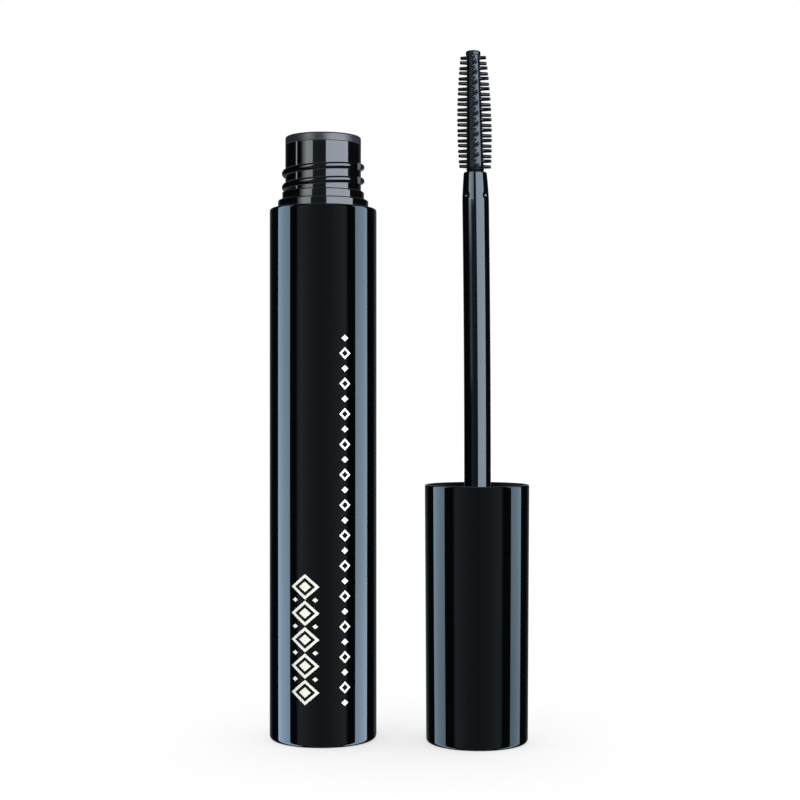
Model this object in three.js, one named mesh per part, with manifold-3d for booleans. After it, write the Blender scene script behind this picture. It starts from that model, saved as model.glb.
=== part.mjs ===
// Mascara tube, opened: the bottle stands upright with the wiper in its neck, and the wand stands
// beside it on its cap with the brush upwards. Millimetres, +Z up. The origin is the centre of the
// bottle's flat base, +X runs from the bottle to the wand, and -Y is the front.
import * as THREE from "three";
import { mergeVertices } from "three/addons/utils/BufferGeometryUtils.js";
import Module from "manifold-3d";

const wasm = await Module();
wasm.setup();

// ---- Clearances ----
const SHELL_FIT = 0.15; // radial, between a shell and the insert pressed into it
const SEAT_GAP = 0.1; // between two faces that rest on each other
const THREAD_CLEARANCE = 0.15; // radial, between a crest and the wall opposite it
const STEM_CLEARANCE = 0.1; // radial, round the rod and the stems that plug into a socket

// ---- Bottle sleeve: the glossy outer shell ----
const SLEEVE_DIAMETER = 17.5;
const SLEEVE_HEIGHT = 86.7;
const SLEEVE_WALL = 1.2;
const SLEEVE_FLOOR = 1.5;
const SLEEVE_BASE_FILLET = 0.5;
const SLEEVE_TOP_FILLET = 0.45;

// ---- Vial: the inner bottle, with two shoulder steps and the threaded neck ----
const VIAL_WALL = 0.9;
const VIAL_FLOOR = 1.6;
const COLLAR_RISE = 1.4; // of the vial's full diameter above the sleeve
const STEP_INSET = 0.7; // radial, of the step inside the collar
const STEP_RISE = 1.4;
const STEP_FILLET = 0.3;
const NECK_INSET = 0.5; // radial, of the neck inside the step
const NECK_RISE = 7.6;
const NECK_WALL = 1.3;
const SHOULDER_THICKNESS = 1.2;

// ---- Thread: single start, right-handed, round ridge ----
const THREAD_PITCH = 2.25;
const THREAD_RISE = 0.58; // of the crest above the neck
const THREAD_SECTION_RADIUS = 0.55;
const THREAD_TURNS = 1.6;
const THREAD_START_HEIGHT = 0.55; // of the ridge's centre line above the step, where it starts
const THREAD_START_DEG = 160; // from +X, anticlockwise seen from above
const THREAD_RUNOUT = 0.07; // share of the ridge's length over which each end sinks in
const THREAD_BREAK_DEG = -34; // the ridge is broken at the mould's two split lines
const THREAD_BREAK_WIDTH = 2.4;

// ---- Wiper: the collar in the neck that strips the rod ----
const WIPER_FLANGE_HEIGHT = 1.3;
const WIPER_FLANGE_FILLET = 0.4;
const WIPER_WALL = 0.8;
const WIPER_THROAT_DEPTH = 7.0;
const WIPER_LIP_DEPTH = 3.2;
const WIPER_LIP_WALL = 0.5;

// ---- Mascara left in the vial, with the channel that the wand makes in it ----
const PASTE_HEIGHT = 66;
const PASTE_CHANNEL = 8.2;
const PASTE_FLOOR = 4.0;

// ---- Overcap: the glossy outer shell of the wand's handle ----
const CAP_HEIGHT = 41.7;
const CAP_RIM_INSET = 0.275; // radial, of its rim inside the sleeve's wall
const CAP_TAPER = 0.225; // radial, from its rim down to its closed end
const CAP_WALL = 0.7;
const CAP_FLOOR = 1.5;
const CAP_END_FILLET = 0.6;
const CAP_RIM_FILLET = 0.25;
const CAP_CLOSED_GAP = 0.2; // between the cap's rim and the sleeve when screwed shut

// ---- Inner cap: the threaded insert that holds the rod ----
const INNER_CAP_RECESS = 2.4; // of its rim below the overcap's
const INNER_CAP_WEB = 1.6;
const INNER_RIDGE_RADIUS = 0.42;
const INNER_RIDGE_TURNS = 1.25;
const SOCKET_WALL = 1.1;
const SOCKET_DEPTH = 9.0;
const RIB_COUNT = 4;
const RIB_THICKNESS = 1.0;
const RIB_HEIGHT = 7.0;

// ---- Gasket ----
const GASKET_THICKNESS = 1.0;
const GASKET_EDGE_GAP = 0.25; // radial, inside the inner cap's bore

// ---- Rod ----
const ROD_DIAMETER = 4.34;
const ROD_WALL = 1.17;
const ROD_PLUG_STEP = 0.43; // radial, of the plug outside the rod
const ROD_PLUG_CHAMFER = 0.5;
const ROD_TAPER_LENGTH = 4.7;
const ROD_TIP_INSET = 0.27; // radial, of the tip inside the rod
const ROD_SOCKET_WALL = 0.55; // round the brush's stem
const ROD_TIP_FILLET = 0.3;
const CRIMP_RADIUS = 0.45;
const CRIMP_DEPTH = 0.22;
const CRIMP_BELOW_TIP = 3.9;
const CRIMP_COUNT = 4;
const CRIMP_FIRST_DEG = 45;

// ---- Brush: one moulding, a tapered core with rows of bristles ----
const BRUSH_LENGTH = 19.65;
const BRUSH_FLOOR_GAP = 13.35; // between its tip and the vial's floor in the closed tube
const BRUSH_ROOT_DIAMETER = 2.76;
const BRUSH_TIP_DIAMETER = 2.04;
const BRUSH_HEAD_DIAMETER = 2.4;
const BRUSH_HEAD_HEIGHT = 0.65;
const BRUSH_STEM_LENGTH = 6.0;
const BRISTLE_ROWS = 22;
const BRISTLES_PER_ROW = 4;
const BRISTLE_ROW_PITCH = 0.84;
const BRISTLE_FIRST_ROW = 1.0; // above the brush's root
const BRISTLE_TWIST_DEG = 8; // each row is turned this far one way, the next the other
const BRISTLE_ROOT_RADIUS = 0.33;
const BRISTLE_TIP_RADIUS = 0.26;
const BRISTLE_REACH = 2.84; // from the brush's axis, in the widest row
const BRISTLE_WIDEST_AT = 0.35; // share of the rows' height
const BRISTLE_REACH_SAG = 1.7; // how fast the reach falls off away from the widest row

// ---- Where the wand stands, from the bottle's axis ----
const WAND_X = 25.1;
const WAND_Y = -2.7;

// ---- How finely round shapes are cut ----
const SHELL_SEGMENTS = 48;
const CORE_SEGMENTS = 32;
const ROD_SEGMENTS = 24;
const FILLET_STEPS = 2;
const RIDGE_STEPS = 48;
const RIDGE_SIDES = 6;
const BRISTLE_SIDES = 4;

// ---- Heights and radii that follow from the sizes above ----
const sleeveRadius = SLEEVE_DIAMETER / 2;
const sleeveBore = sleeveRadius - SLEEVE_WALL;
const vialRadius = sleeveBore - SHELL_FIT;
const vialBore = vialRadius - VIAL_WALL;
const vialBase = SLEEVE_FLOOR + SEAT_GAP;
const vialFloorTop = vialBase + VIAL_FLOOR;
const collarTop = SLEEVE_HEIGHT + COLLAR_RISE;
const stepTop = collarTop + STEP_RISE;
const neckTop = stepTop + NECK_RISE;
const stepRadius = vialRadius - STEP_INSET;
const neckRadius = stepRadius - NECK_INSET;
const neckBore = neckRadius - NECK_WALL;
const threadCrest = neckRadius + THREAD_RISE;
const threadStart = stepTop + THREAD_START_HEIGHT;
const flangeTop = neckTop + SEAT_GAP + WIPER_FLANGE_HEIGHT;

const rodRadius = ROD_DIAMETER / 2;
const rodBore = rodRadius - ROD_WALL;
const rodTipRadius = rodRadius - ROD_TIP_INSET;
const plugRadius = rodRadius + ROD_PLUG_STEP;
const stemSocket = rodTipRadius - ROD_SOCKET_WALL;
const stemRadius = stemSocket - STEM_CLEARANCE;
// Height over the sleeve's base, in the closed tube, of the wand's flat end.
const closedHeight = SLEEVE_HEIGHT + CAP_CLOSED_GAP + CAP_HEIGHT;
const brushTip = closedHeight - vialFloorTop - BRUSH_FLOOR_GAP;
const rodTop = brushTip - BRUSH_LENGTH;
// In the wand's own frame, the height at which the wiper's flange stops in the closed tube.
const sealHeight = closedHeight - flangeTop;
const gasketTop = sealHeight - SEAT_GAP;
const gasketBase = gasketTop - GASKET_THICKNESS;
const webTop = gasketBase - SEAT_GAP;
const webBase = webTop - INNER_CAP_WEB;
const socketBore = plugRadius + STEM_CLEARANCE;
const plugBase = webTop - SOCKET_DEPTH;
const innerCapBore = threadCrest + THREAD_CLEARANCE;
const innerCapTop = CAP_HEIGHT - INNER_CAP_RECESS;
const capRimRadius = sleeveRadius - CAP_RIM_INSET;
const capEndRadius = capRimRadius - CAP_TAPER;
const skirtRadius = capEndRadius - CAP_WALL - SHELL_FIT;

const radians = THREE.MathUtils.degToRad;

/** A manifold-3d solid with the triangles of a closed geometry. */
function solid(geometry) {
  const bare = geometry.clone().deleteAttribute("normal").deleteAttribute("uv");
  const merged = mergeVertices(bare);
  const triVerts = new Uint32Array(merged.index.array);
  const vertProperties = merged.attributes.position.array;
  return new wasm.Manifold(new wasm.Mesh({ numProp: 3, vertProperties, triVerts }));
}

/** The geometry of a manifold-3d solid. */
function geometryOf(body) {
  const { vertProperties, triVerts } = body.getMesh();
  const geometry = new THREE.BufferGeometry();
  geometry.setAttribute("position", new THREE.BufferAttribute(vertProperties, 3));
  geometry.setIndex(new THREE.BufferAttribute(triVerts, 1));
  geometry.computeVertexNormals();
  return geometry;
}

/** Turns an outline, drawn as radius and height, about the Z axis. */
function revolve(outline, segments) {
  return new THREE.LatheGeometry(outline.getPoints(FILLET_STEPS), segments).rotateX(Math.PI / 2);
}

/** A quarter-round corner of an outline that runs anticlockwise, centred at (radius, height). */
function corner(outline, radius, height, fillet, startDeg) {
  outline.absarc(radius, height, fillet, radians(startDeg), radians(startDeg + 90));
}

/** The outer shell's outline: a cup with a rounded foot and a rounded rim. */
function cupOutline({ footRadius, rimRadius, height, wall, floor, footFillet, rimFillet }) {
  const outline = new THREE.Path();
  outline.moveTo(0, 0);
  outline.lineTo(footRadius - footFillet, 0);
  corner(outline, footRadius - footFillet, footFillet, footFillet, -90);
  corner(outline, rimRadius - rimFillet, height - rimFillet, rimFillet, 0);
  outline.lineTo(rimRadius - wall, height);
  outline.lineTo(footRadius - wall, floor);
  outline.lineTo(0, floor);
  return outline;
}

/** The centre line of a thread's ridge, which sinks by `sink` at both ends. */
class ThreadLine extends THREE.Curve {
  constructor({ radius, sink, startDeg, startHeight, turns }) {
    super();
    Object.assign(this, { radius, sink, startDeg, startHeight, turns });
  }

  getPoint(t, target = new THREE.Vector3()) {
    const turned = t * this.turns;
    const angle = radians(this.startDeg) + turned * 2 * Math.PI;
    const shown = Math.min(1, t / THREAD_RUNOUT, (1 - t) / THREAD_RUNOUT);
    const radius = this.radius - this.sink * (1 - shown);
    const height = this.startHeight + turned * THREAD_PITCH;
    return target.set(radius * Math.cos(angle), radius * Math.sin(angle), height);
  }
}

/** A round ridge along a thread's centre line. */
function ridge(line, sectionRadius) {
  const section = new THREE.Shape();
  section.absarc(0, 0, sectionRadius, 0, 2 * Math.PI);
  return new THREE.ExtrudeGeometry(section, {
    steps: RIDGE_STEPS,
    curveSegments: RIDGE_SIDES,
    extrudePath: line,
  });
}

/** A box that spans the whole width of a piece, turned about Z by `deg`. */
function bladeAcross(length, thickness, height, centreHeight, deg) {
  return new THREE.BoxGeometry(length, thickness, height)
    .translate(0, 0, centreHeight)
    .rotateZ(radians(deg));
}

function sleeveGeometry() {
  return revolve(
    cupOutline({
      footRadius: sleeveRadius,
      rimRadius: sleeveRadius,
      height: SLEEVE_HEIGHT,
      wall: SLEEVE_WALL,
      floor: SLEEVE_FLOOR,
      footFillet: SLEEVE_BASE_FILLET,
      rimFillet: SLEEVE_TOP_FILLET,
    }),
    SHELL_SEGMENTS,
  );
}

function vialBody() {
  const insideShoulder = collarTop - SHOULDER_THICKNESS;
  const outline = new THREE.Path();
  outline.moveTo(0, vialBase);
  outline.lineTo(vialRadius, vialBase);
  corner(outline, vialRadius - STEP_FILLET, collarTop - STEP_FILLET, STEP_FILLET, 0);
  outline.lineTo(stepRadius, collarTop);
  corner(outline, stepRadius - STEP_FILLET, stepTop - STEP_FILLET, STEP_FILLET, 0);
  outline.lineTo(neckRadius, stepTop);
  outline.lineTo(neckRadius, neckTop);
  outline.lineTo(neckBore, neckTop);
  outline.lineTo(neckBore, insideShoulder);
  outline.lineTo(vialBore, insideShoulder - (vialBore - neckBore));
  outline.lineTo(vialBore, vialFloorTop);
  outline.lineTo(0, vialFloorTop);
  return revolve(outline, SHELL_SEGMENTS);
}

/** The neck's thread, broken where the mould splits and kept out of the bore. */
function neckThread() {
  const line = new ThreadLine({
    radius: threadCrest - THREAD_SECTION_RADIUS,
    sink: THREAD_RISE + SEAT_GAP,
    startDeg: THREAD_START_DEG,
    startHeight: threadStart,
    turns: THREAD_TURNS,
  });
  const height = 2 * NECK_RISE;
  const split = bladeAcross(4 * neckRadius, THREAD_BREAK_WIDTH, height, stepTop, THREAD_BREAK_DEG);
  const bore = new THREE.CylinderGeometry(neckBore, neckBore, height, SHELL_SEGMENTS)
    .rotateX(Math.PI / 2)
    .translate(0, 0, stepTop);
  return solid(ridge(line, THREAD_SECTION_RADIUS)).subtract(solid(split)).subtract(solid(bore));
}

function vialGeometry() {
  return geometryOf(solid(vialBody()).add(neckThread()));
}

function wiperGeometry() {
  const outer = neckBore - STEM_CLEARANCE;
  const throat = outer - WIPER_WALL;
  const orifice = rodRadius + STEM_CLEARANCE;
  const flangeBase = neckTop + SEAT_GAP;
  const lipTop = flangeTop - WIPER_THROAT_DEPTH;
  const lipBase = lipTop - WIPER_LIP_DEPTH;
  const fillet = WIPER_FLANGE_FILLET;
  const outline = new THREE.Path();
  outline.moveTo(throat, flangeTop);
  outline.lineTo(throat, lipTop);
  outline.lineTo(orifice, lipBase);
  outline.lineTo(orifice + WIPER_LIP_WALL, lipBase);
  outline.lineTo(outer, lipTop);
  outline.lineTo(outer, flangeBase);
  outline.lineTo(neckRadius, flangeBase);
  corner(outline, neckRadius - fillet, flangeTop - fillet, fillet, 0);
  outline.closePath();
  return revolve(outline, SHELL_SEGMENTS);
}

function pasteGeometry() {
  const base = vialFloorTop + SEAT_GAP;
  const radius = vialBore - STEM_CLEARANCE;
  const channel = PASTE_CHANNEL / 2;
  const outline = new THREE.Path();
  outline.moveTo(0, base);
  outline.lineTo(radius, base);
  outline.lineTo(radius, base + PASTE_HEIGHT);
  outline.lineTo(channel, base + PASTE_HEIGHT);
  outline.lineTo(channel, base + PASTE_FLOOR);
  outline.lineTo(0, base + PASTE_FLOOR);
  return revolve(outline, CORE_SEGMENTS);
}

function overcapGeometry() {
  return revolve(
    cupOutline({
      footRadius: capEndRadius,
      rimRadius: capRimRadius,
      height: CAP_HEIGHT,
      wall: CAP_WALL,
      floor: CAP_FLOOR,
      footFillet: CAP_END_FILLET,
      rimFillet: CAP_RIM_FILLET,
    }),
    SHELL_SEGMENTS,
  );
}

/** The inner cap's skirt, web and rod socket, as one turned outline. */
function innerCapBody() {
  const socketRadius = socketBore + SOCKET_WALL;
  const outline = new THREE.Path();
  outline.moveTo(socketBore, webTop);
  outline.lineTo(socketBore, plugBase);
  outline.lineTo(socketRadius, plugBase);
  outline.lineTo(socketRadius, webBase);
  outline.lineTo(skirtRadius, webBase);
  outline.lineTo(skirtRadius, innerCapTop);
  outline.lineTo(innerCapBore, innerCapTop);
  outline.lineTo(innerCapBore, webTop);
  outline.closePath();
  return solid(revolve(outline, SHELL_SEGMENTS));
}

/**
 * The inner cap's ridge. It runs half a pitch off the neck's ridge in the closed tube. The wand is
 * turned over to close the tube, about the front-to-back axis, so a height h becomes
 * closedHeight - h and an angle a becomes 180 - a.
 */
function innerCapThread() {
  const radius = neckRadius + THREAD_CLEARANCE + INNER_RIDGE_RADIUS;
  const endHeight = closedHeight - threadStart - THREAD_PITCH / 2;
  const line = new ThreadLine({
    radius,
    sink: radius + INNER_RIDGE_RADIUS - skirtRadius,
    startDeg: 180 - THREAD_START_DEG - 360 * INNER_RIDGE_TURNS,
    startHeight: endHeight - THREAD_PITCH * INNER_RIDGE_TURNS,
    turns: INNER_RIDGE_TURNS,
  });
  return solid(ridge(line, INNER_RIDGE_RADIUS));
}

/** The ribs under the web that centre the socket in the overcap. */
function innerCapRibs() {
  const hollow = new THREE.CylinderGeometry(socketBore, socketBore, 2 * SOCKET_DEPTH, CORE_SEGMENTS)
    .rotateX(Math.PI / 2)
    .translate(0, 0, webBase - RIB_HEIGHT);
  const middle = webBase - RIB_HEIGHT / 2;
  const blades = [];
  for (let index = 0; index < RIB_COUNT / 2; index++) {
    const deg = (index * 360) / RIB_COUNT;
    blades.push(solid(bladeAcross(2 * skirtRadius, RIB_THICKNESS, RIB_HEIGHT, middle, deg)));
  }
  return wasm.Manifold.union(blades).subtract(solid(hollow));
}

function innerCapGeometry() {
  return geometryOf(innerCapBody().add(innerCapThread()).add(innerCapRibs()));
}

function gasketGeometry() {
  const outline = new THREE.Path();
  const inner = rodRadius + 2 * STEM_CLEARANCE;
  const outer = innerCapBore - GASKET_EDGE_GAP;
  outline.moveTo(inner, gasketBase);
  outline.lineTo(outer, gasketBase);
  outline.lineTo(outer, gasketTop);
  outline.lineTo(inner, gasketTop);
  outline.closePath();
  return revolve(outline, CORE_SEGMENTS);
}

/** The dents pinched into the rod's end to hold the brush's stem. */
function crimpDents() {
  const height = rodTop - CRIMP_BELOW_TIP;
  const offset = rodRadius + CRIMP_RADIUS - CRIMP_DEPTH;
  const dents = [];
  for (let index = 0; index < CRIMP_COUNT; index++) {
    const turned = radians(CRIMP_FIRST_DEG + (index * 360) / CRIMP_COUNT);
    const ball = new THREE.SphereGeometry(CRIMP_RADIUS, 10, 8);
    dents.push(solid(ball.translate(offset, 0, height).rotateZ(turned)));
  }
  return wasm.Manifold.union(dents);
}

function rodGeometry() {
  const socketBase = rodTop - BRUSH_STEM_LENGTH - SEAT_GAP;
  const outline = new THREE.Path();
  outline.moveTo(rodBore, plugBase);
  outline.lineTo(plugRadius - ROD_PLUG_CHAMFER, plugBase);
  outline.lineTo(plugRadius, plugBase + ROD_PLUG_CHAMFER);
  outline.lineTo(plugRadius, webTop);
  outline.lineTo(rodRadius, webTop);
  outline.lineTo(rodRadius, rodTop - ROD_TAPER_LENGTH);
  corner(outline, rodTipRadius - ROD_TIP_FILLET, rodTop - ROD_TIP_FILLET, ROD_TIP_FILLET, 0);
  outline.lineTo(stemSocket, rodTop);
  outline.lineTo(stemSocket, socketBase);
  outline.lineTo(rodBore, socketBase);
  outline.closePath();
  return geometryOf(solid(revolve(outline, ROD_SEGMENTS)).subtract(crimpDents()));
}

function brushCore() {
  const base = rodTop + SEAT_GAP;
  const headBase = brushTip - BRUSH_HEAD_HEIGHT;
  const fillet = BRUSH_HEAD_HEIGHT / 3;
  const outline = new THREE.Path();
  outline.moveTo(0, base - BRUSH_STEM_LENGTH);
  outline.lineTo(stemRadius, base - BRUSH_STEM_LENGTH);
  outline.lineTo(stemRadius, base);
  outline.lineTo(BRUSH_ROOT_DIAMETER / 2, base);
  outline.lineTo(BRUSH_TIP_DIAMETER / 2, headBase);
  outline.lineTo(BRUSH_HEAD_DIAMETER / 2, headBase);
  corner(outline, BRUSH_HEAD_DIAMETER / 2 - fillet, brushTip - fillet, fillet, 0);
  outline.lineTo(0, brushTip);
  return revolve(outline, ROD_SEGMENTS);
}

/** How far a row's bristles reach from the axis; `share` is 0 in the lowest row, 1 in the highest. */
function bristleReach(share) {
  return BRISTLE_REACH - BRISTLE_REACH_SAG * (share - BRISTLE_WIDEST_AT) ** 2;
}

/** One bristle: a tapered spike from inside the core out to `reach`, `deg` round from the front. */
function bristle(reach, height, deg) {
  const start = BRUSH_TIP_DIAMETER / 4;
  return new THREE.CylinderGeometry(BRISTLE_TIP_RADIUS, BRISTLE_ROOT_RADIUS, reach - start, BRISTLE_SIDES)
    .translate(0, start + (reach - start) / 2, 0)
    .rotateZ(Math.PI)
    .rotateZ(radians(deg))
    .translate(0, 0, height);
}

function brushGeometry() {
  const pieces = [solid(brushCore())];
  for (let row = 0; row < BRISTLE_ROWS; row++) {
    const reach = bristleReach(row / (BRISTLE_ROWS - 1));
    const height = rodTop + BRISTLE_FIRST_ROW + row * BRISTLE_ROW_PITCH;
    const twist = row % 2 === 0 ? BRISTLE_TWIST_DEG : -BRISTLE_TWIST_DEG;
    for (let index = 0; index < BRISTLES_PER_ROW; index++) {
      const deg = twist + (index * 360) / BRISTLES_PER_ROW;
      pieces.push(solid(bristle(reach, height, deg)));
    }
  }
  return geometryOf(wasm.Manifold.union(pieces));
}

/** A named mesh with a material of its own. */
function piece(name, geometry, color, roughness) {
  const material = new THREE.MeshStandardMaterial({ color, roughness, metalness: 0 });
  const mesh = new THREE.Mesh(geometry, material);
  mesh.name = name;
  return mesh;
}

const bottle = new THREE.Group();
bottle.add(
  piece("bottle_sleeve", sleeveGeometry(), 0x0b0c0e, 0.08),
  piece("vial", vialGeometry(), 0x111012, 0.12),
  piece("wiper", wiperGeometry(), 0x2b2b30, 0.55),
  piece("mascara_paste", pasteGeometry(), 0x050506, 0.4),
);

const wand = new THREE.Group();
wand.position.set(WAND_X, WAND_Y, 0);
wand.add(
  piece("overcap", overcapGeometry(), 0x0b0c0e, 0.08),
  piece("inner_cap", innerCapGeometry(), 0x1a1a1c, 0.5),
  piece("gasket", gasketGeometry(), 0x3a3a3e, 0.7),
  piece("rod", rodGeometry(), 0x0e0f11, 0.15),
  piece("brush", brushGeometry(), 0x15181d, 0.45),
);

const mascaraTube = new THREE.Group();
mascaraTube.add(bottle, wand);

export default mascaraTube;
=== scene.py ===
"""An opened mascara tube: the bottle with its wiper, and the wand standing on its cap beside it.

Sizes held here are in millimetres, and every shape is worked out as whole numpy arrays and turned
into metres when its mesh is made. Where a piece stands, and how large it is, comes from the frame.
Angles round a piece are counted from the front, the -Y side, towards +X.
"""

import logging
import math
from collections.abc import Sequence
from dataclasses import dataclass
from enum import Enum

import bpy
import numpy as np
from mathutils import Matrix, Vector


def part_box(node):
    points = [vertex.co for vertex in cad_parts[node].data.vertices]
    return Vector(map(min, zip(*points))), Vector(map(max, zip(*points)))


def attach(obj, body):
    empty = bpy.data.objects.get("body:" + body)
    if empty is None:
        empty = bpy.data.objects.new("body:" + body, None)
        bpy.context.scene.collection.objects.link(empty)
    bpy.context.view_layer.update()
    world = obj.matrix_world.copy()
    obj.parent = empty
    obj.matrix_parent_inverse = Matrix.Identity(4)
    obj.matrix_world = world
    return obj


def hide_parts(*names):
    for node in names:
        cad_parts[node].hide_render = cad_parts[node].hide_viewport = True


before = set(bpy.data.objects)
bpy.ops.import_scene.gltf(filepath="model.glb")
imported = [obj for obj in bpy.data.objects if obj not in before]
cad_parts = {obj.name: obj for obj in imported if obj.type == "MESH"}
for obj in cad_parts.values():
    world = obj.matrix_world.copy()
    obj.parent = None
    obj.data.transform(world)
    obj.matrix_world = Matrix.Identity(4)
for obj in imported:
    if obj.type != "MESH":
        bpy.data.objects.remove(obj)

log = logging.getLogger("mascara_tube")

MM = 0.001
Colour = tuple[float, float, float]
Pair = tuple[float, float]
Piece = bpy.types.Object
Socket = bpy.types.NodeSocket


class Body(Enum):
    """The frame's bodies, each of which carries its pieces."""

    BOTTLE = "bottle"
    GASKET = "cap_gasket"
    WAND = "wand"


class Detail(Enum):
    """How many steps a full turn is cut into."""

    SHELL = 192
    STEM = 96
    RIDGE = 24
    BRISTLE = 10


# ---------------------------------------------------------------- shapes


@dataclass(frozen=True)
class Extent:
    """The room that a node of the frame takes, in millimetres, with its axis's place in X and Y."""

    radius: float
    base: float
    top: float
    axis: np.ndarray

    @classmethod
    def of(cls, node: str) -> "Extent":
        """Reads a node's box from the frame.

        Args:
            node: the node's name.

        Returns:
            The node's extent at rest.
        """
        low, high = (np.array(corner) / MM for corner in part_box(node))
        return cls((high[0] - low[0]) / 2, low[2], high[2], (low[:2] + high[:2]) / 2)


class Outline:
    """A section drawn as points of radius and height, anticlockwise with the radius to the right."""

    def __init__(self, *points: Pair) -> None:
        """Starts the outline.

        Args:
            points: the first points, each a radius and a height.
        """
        self.runs: list[np.ndarray] = [np.array(points, float)]

    def line(self, *points: Pair) -> "Outline":
        """Adds straight stretches through the points, each a radius and a height."""
        self.runs.append(np.array(points, float))
        return self

    def arc(self, centre: Pair, radius: float, start: float, end: float, steps: int = 8) -> "Outline":
        """Adds a round stretch: centre + radius * (cos a, sin a), with a from start to end.

        Args:
            centre: the arc's centre, as a radius and a height.
            radius: the arc's own radius.
            start: the first angle in degrees.
            end: the last angle in degrees.
            steps: how many chords the arc is cut into.

        Returns:
            This outline.
        """
        angle = np.radians(np.linspace(start, end, steps + 1))
        circle = np.stack([np.cos(angle), np.sin(angle)], axis=1)
        self.runs.append(np.array(centre) + radius * circle)
        return self

    @property
    def points(self) -> np.ndarray:
        """All points in order, without the repeated ones."""
        joined = np.concatenate(self.runs)
        moved = np.linalg.norm(np.diff(joined, axis=0), axis=1) > 1e-6
        return joined[np.concatenate([[True], moved])]


class Shell:
    """Closed surfaces, in millimetres, gathered into the mesh of one piece."""

    def __init__(self, name: str) -> None:
        """Starts an empty piece.

        Args:
            name: the piece's name.
        """
        self.name = name
        self.points: list[np.ndarray] = []
        self.quads: list[np.ndarray] = []
        self.triangles: list[np.ndarray] = []
        self.count = 0

    def grid(self, surface: np.ndarray, closed_rows: bool = False, capped: bool = False) -> None:
        """Adds surfaces of rows by columns whose columns close on themselves.

        The corner order is row, next column, next row, so a face looks along
        (column direction) x (row direction).

        Args:
            surface: the points, rows by columns by 3, or many such surfaces in one array.
            closed_rows: whether the last row joins the first.
            capped: whether the first and last rows are closed by fans to their middles.
        """
        batch = surface.reshape(-1, *surface.shape[-3:])
        index = self.count + np.arange(batch[..., 0].size).reshape(batch.shape[:3])
        if closed_rows:
            index = np.concatenate([index, index[:, :1]], axis=1)
        right = np.roll(index, -1, axis=2)
        corners = [index[:, :-1], right[:, :-1], right[:, 1:], index[:, 1:]]
        self.quads.append(np.stack(corners, axis=-1).reshape(-1, 4))
        self.points.append(batch.reshape(-1, 3))
        self.count += batch[..., 0].size
        if capped:
            ends = batch[:, [0, -1]].mean(axis=2)
            middle = self.count + np.arange(ends[..., 0].size).reshape(-1, 2, 1)
            middle = middle + 0 * index[:, [0, -1]]
            fans = [
                np.stack([middle[:, 0], right[:, 0], index[:, 0]], axis=-1),
                np.stack([middle[:, 1], index[:, -1], right[:, -1]], axis=-1),
            ]
            self.triangles.extend(fan.reshape(-1, 3) for fan in fans)
            self.points.append(ends.reshape(-1, 3))
            self.count += ends[..., 0].size

    def turned(self, outline: Outline, axis: np.ndarray, steps: Detail, ring: bool = False) -> None:
        """Turns an outline about an upright axis: (axis + r (sin a, -cos a), z) for each a.

        Args:
            outline: the section. Without `ring`, it starts and ends on the axis.
            axis: the axis's place in X and Y.
            steps: how many steps a full turn is cut into.
            ring: whether the section closes on itself and leaves the middle open.
        """
        section = outline.points
        if not ring:
            section = section[1:-1]
        surface = around(section[:, :1], section[:, 1:], axis, steps)
        self.grid(surface, closed_rows=ring, capped=not ring)

    def swept(self, path: np.ndarray, out: np.ndarray, radius: float, steps: Detail) -> None:
        """Carries a circle along a path: p + radius (cos a * out + sin a * tangent x out).

        Args:
            path: the points of the path, n by 3.
            out: a unit vector across the path at each point, n by 3.
            radius: the circle's radius.
            steps: how many steps the circle is cut into.
        """
        tangent = np.gradient(path, axis=0)
        across = np.cross(tangent, out)
        across /= np.linalg.norm(across, axis=1, keepdims=True)
        angle = np.linspace(0, 2 * np.pi, steps.value, endpoint=False)[None, :, None]
        circle = np.cos(angle) * out[:, None] + np.sin(angle) * across[:, None]
        self.grid(path[:, None] + radius * circle, capped=True)

    def bend(self, seat: float, rim: float, tip: float, lean: float, droop: float) -> None:
        """Bends the piece sideways: x moves by lean * p - droop * q^2.

        Here p is (z - seat) / (rim - seat), kept from 0 to 1, and q is (z - rim) / (tip - rim),
        kept above 0.

        Args:
            seat: the height up to which the piece is straight.
            rim: the height at which the whole lean is reached.
            tip: the height at which the whole droop is reached.
            lean: how far the piece leans, along X.
            droop: how far it bends back, against X.
        """
        for points in self.points:
            leant = np.clip((points[:, 2] - seat) / (rim - seat), 0, 1)
            drooped = np.clip((points[:, 2] - rim) / (tip - rim), 0, None)
            points[:, 0] += lean * leant - droop * drooped**2

    def finish(self, sharp: float = 35.0) -> Piece:
        """Makes the mesh, in metres, with smooth faces and crisp edges.

        Args:
            sharp: the angle in degrees past which an edge stays crisp.

        Returns:
            The object, linked to the scene.
        """
        mesh = bpy.data.meshes.new(self.name)
        points = np.concatenate(self.points) * MM
        faces = [face for batch in self.quads + self.triangles for face in batch.tolist()]
        mesh.from_pydata(points.tolist(), [], faces)
        mesh.validate()
        mesh.polygons.foreach_set("use_smooth", np.ones(len(faces), bool))
        mesh.set_sharp_from_angle(angle=math.radians(sharp))
        piece = bpy.data.objects.new(self.name, mesh)
        bpy.context.scene.collection.objects.link(piece)
        return piece


def around(radius: np.ndarray, height: np.ndarray, axis: np.ndarray, steps: Detail) -> np.ndarray:
    """Points at each angle a round an axis: (axis + radius (sin a, -cos a), height).

    Args:
        radius: one radius for each row and angle, or one for each row.
        height: one height for each row and angle, or one for each row.
        axis: the axis's place in X and Y.
        steps: how many angles a full turn has.

    Returns:
        The points, as an array of rows by angles by 3.
    """
    angle = turn(steps)[None, :]
    radius, height = radius + 0 * angle, height + 0 * angle
    return np.stack(
        [axis[0] + radius * np.sin(angle), axis[1] - radius * np.cos(angle), height], axis=-1
    )


def turn(steps: Detail) -> np.ndarray:
    """The angles of a full turn from the front, in radians."""
    return np.linspace(0, 2 * np.pi, steps.value, endpoint=False)


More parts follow.
